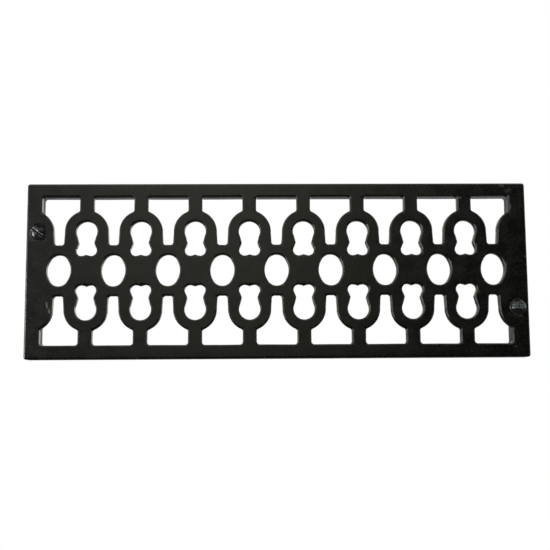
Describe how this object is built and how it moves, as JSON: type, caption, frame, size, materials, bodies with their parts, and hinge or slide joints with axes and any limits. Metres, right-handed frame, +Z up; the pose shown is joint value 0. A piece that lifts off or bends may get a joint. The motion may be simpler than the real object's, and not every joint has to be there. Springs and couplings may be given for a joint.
{
  "type": "cast iron air vent grille",
  "caption": "Flat rectangular cast iron air vent: keyhole, bell and oval openings pierced through one plate, held by a round head slotted screw at each end.",
  "frame": {"origin": "middle of the plate's back, in the plane Y = 0 of the flat border that rests on the wall", "axes": "+X to the viewer's right along the plate's long side, +Y from the front through the plate into the wall, +Z up"},
  "size_m": [0.235, 0.0283, 0.0826],
  "materials": {
    "iron": "satin gloss black paint over the cast skin",
    "screw": "gloss black japanned steel"
  },
  "bodies": {
    "root": {"grille_plate": "iron", "fixing_screws": "screw"}
  },
  "joints": []
}
